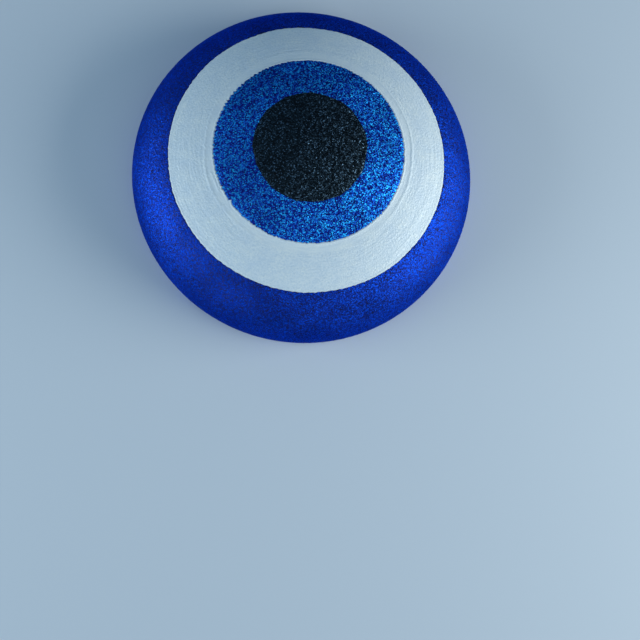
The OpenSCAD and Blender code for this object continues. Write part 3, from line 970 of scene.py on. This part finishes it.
def ribbon_tab(side):
    """A folded ribbon with soft edges and a hole for the eyelet."""
    angles = np.linspace(0, TAU, 144, endpoint=False)
    outline = tab_outline(angles)
    share = np.r_[0, 0.1, np.linspace(0.2, 0.86, 9), 0.93, 0.97, 1.0]
    hole = EYE_R + EYE_WALL
    reach = hole + share[:, None] * (outline - hole)[None, :]
    across, down = reach * np.sin(angles), EYE_DROP + reach * np.cos(angles)
    left = (1 - share)[:, None] * (outline - hole)[None, :]
    round_edge = np.sqrt(1 - (1 - np.clip(left / (0.5 * MM), 0, 1)) ** 2)
    thick = TAB_T / 2 * (0.35 + 0.65 * round_edge)
    ribs = 0.035 * MM * np.sin(down * TAU / (0.9 * MM))
    front = np.stack([thick - 0.03 * MM + ribs, across, down], -1)
    back = np.stack([-thick + 0.03 * MM - ribs, across, down], -1)
    return slab(on_tab(front, side), on_tab(back, side), True)


def tab_threads(side):
    """Lockstitch inside the tab's edge on both faces, and thread loops round the bar tack."""
    parts = []
    half, top, low = TAB_W / 2 - 1.1 * MM, 2.0 * MM, TAB_LEN - 1.1 * MM
    runs = [((-half, top), (-half, low - 1.2 * MM)), ((half, top), (half, low - 1.2 * MM)),
            ((-half + 1.2 * MM, low), (half - 1.2 * MM, low))]
    for start, end in runs:
        start, end = np.array(start), np.array(end)
        count = max(int(np.linalg.norm(end - start) / (1.9 * MM)), 2)
        for i in range(count):
            t = (i + np.linspace(0.12, 0.88, 7)) / count
            line = start + (end - start) * t[:, None]
            for face in (-1, 1):
                lift = face * (TAB_T / 2 + 0.02 * MM - 0.15 * MM * np.linspace(-1, 1, 7) ** 4)
                parts.append(tube(on_tab(np.stack([lift, line[:, 0], line[:, 1]], -1), side), 0.11 * MM, 6))
    for i in range(4):
        y = (i - 1.5) * 2.2 * MM
        for strand in (-0.17, 0.17):
            turn = np.linspace(0, TAU, 20, endpoint=False)
            through = 0.98 * MM * np.cos(turn)
            down = 0.42 * MM + 1.35 * MM * np.sin(turn)
            loop = np.stack([through * (1 - 0.3 * (down > 0.9 * MM)), y + strand * MM + 0 * turn, down], -1)
            parts.append(tube(on_tab(loop, side), 0.17 * MM, 6, loop=True))
    return gather(parts)


def rolled_eyelet(side):
    """A brass eyelet: a barrel whose ends are rolled into a lip on each face."""
    half = TAB_T / 2
    lip = [(0.05, 0), (0.2, 0.24), (0.5, 0.37), (0.9, 0.38), (1.3, 0.28), (1.55, 0.1), (1.6, -0.02),
           (1.4, -0.03), (0.6, -0.02)]
    rolled = [(EYE_R + r * MM, half + x * MM) for r, x in lip]
    barrel = [(EYE_R, 0.0), (EYE_R, 0.55 * half)]
    profile_points = barrel + rolled + [(EYE_R + EYE_WALL, half - 0.1 * MM), (EYE_R + EYE_WALL, 0.0)]
    mirrored = [(r, -x) for r, x in profile_points[::-1]]
    section = np.array(profile_points[:-1] + mirrored[:-1])
    turn = np.linspace(0, TAU, 72, endpoint=False)
    r, x = section[:, 0][:, None], section[:, 1][:, None]
    local = np.stack([x + 0 * turn, r * np.sin(turn), EYE_DROP + r * np.cos(turn)], -1)
    points = on_tab(local, side)
    count, columns = points.shape[:2]
    return points.reshape(-1, 3), grid_faces(count, columns, count, columns)


def bar_tacks():
    """Dense turns of thread round a core, at the top of each tab."""
    parts = []
    turns, steps = 22, 14
    for side in (-1, 1):
        turn = np.linspace(0, turns, turns * steps)
        y = (turn / turns - 0.5) * (TAB_W - 0.5 * MM)
        coil = np.stack([0.5 * MM * np.cos(turn * TAU), y, 0.5 * MM * np.sin(turn * TAU)], -1)
        parts.append(tube(on_tab(coil, side), 0.2 * MM, 6))
        core = np.stack([0 * y, y * 1.04, 0 * y], -1)[::steps]
        parts.append(tube(on_tab(core, side), 0.38 * MM, 8))
    return gather(parts)


for body, side in (("tab_front", -1), ("tab_back", 1)):
    end = body.split("_")[1]
    new_piece("folded_" + body, *ribbon_tab(side), body, "tab_ribbon", ["elastic_" + body], grosgrain)
    new_piece(body + "_stitches", *tab_threads(side), body, "sewing_thread", [], navy_thread)
    new_piece("rolled_eyelet_" + end, *rolled_eyelet(side), body, "eyelet_brass", ["eyelet_" + end], brass)
new_piece("wound_bar_tacks", *bar_tacks(), "hat", "sewing_thread", ["tab_bar_tacks"], navy_thread)

# ---------------------------------------------------------------- floor, lights and camera
FLOOR_SIZE = 16.0
SOFTBOX = 0.9, 0.6
HAT_MIDDLE = Vector((0, 0, 0.03))


def floor_material():
    g = Graph("pale_floor")
    g.sets(Base_Color=rgb(205, 210, 216), Roughness=0.7)
    return g.material


def make_floor():
    mesh = bpy.data.meshes.new("floor")
    half = FLOOR_SIZE / 2
    corners = [(-half, -half, 0), (half, -half, 0), (half, half, 0), (-half, half, 0)]
    mesh.from_pydata(corners, [], [(0, 1, 2, 3)])
    mesh.materials.append(floor_material())
    floor = bpy.data.objects.new("floor", mesh)
    floor.location.z = cad_box[0][2] - 0.05 * MM
    bpy.context.scene.collection.objects.link(floor)


def soft_light(name, place, power, colour):
    """A softbox that faces the hat."""
    light = bpy.data.lights.new(name, "AREA")
    light.shape = "RECTANGLE"
    light.size, light.size_y = SOFTBOX
    light.energy = power
    light.color = colour
    light.spread = math.radians(120)
    lamp = bpy.data.objects.new(name, light)
    lamp.location = place
    lamp.rotation_euler = (HAT_MIDDLE - Vector(place)).to_track_quat("-Z", "Y").to_euler()
    bpy.context.scene.collection.objects.link(lamp)


make_floor()
soft_light("left_softbox", (-0.94, -0.24, 0.26), 4.1, (0.8, 0.94, 1.0))
soft_light("right_softbox", (0.93, -0.22, 0.35), 5.6, (0.88, 0.96, 0.96))
soft_light("front_softbox", (0.1, -0.9, 0.5), 0.5, (0.8, 0.94, 1.0))
world = bpy.data.worlds.new("studio")
bpy.context.scene.world = world
world.use_nodes = True
sky = world.node_tree.nodes["Background"]
sky.inputs["Color"].default_value = (0.25, 0.6, 1.0, 1)
sky.inputs["Strength"].default_value = 0.28

# The camera looks down the dome's axis from 12.5 degrees off it. hat_place is where it sees the
# shoulder's centre, in its own axes.
lean = Vector((0.0954, 0.1941, 0.0))
axis_seen = Vector((lean.x, lean.y, math.sqrt(1 - lean.length_squared)))
turn = Vector((0, 0, 1)).rotation_difference(axis_seen).to_matrix()
hat_place = Vector((-10.8, 89.5, -746)) * MM
camera_data = bpy.data.cameras.new("camera")
camera_data.lens = 67.5
camera_data.sensor_width = 36
camera = bpy.data.objects.new("camera", camera_data)
place = turn.transposed() @ -hat_place + Vector((0, 0, TUCK_H))
camera.matrix_world = Matrix.Translation(place) @ turn.transposed().to_4x4()
bpy.context.scene.collection.objects.link(camera)
bpy.context.scene.camera = camera
bpy.context.scene.view_settings.view_transform = "Standard"
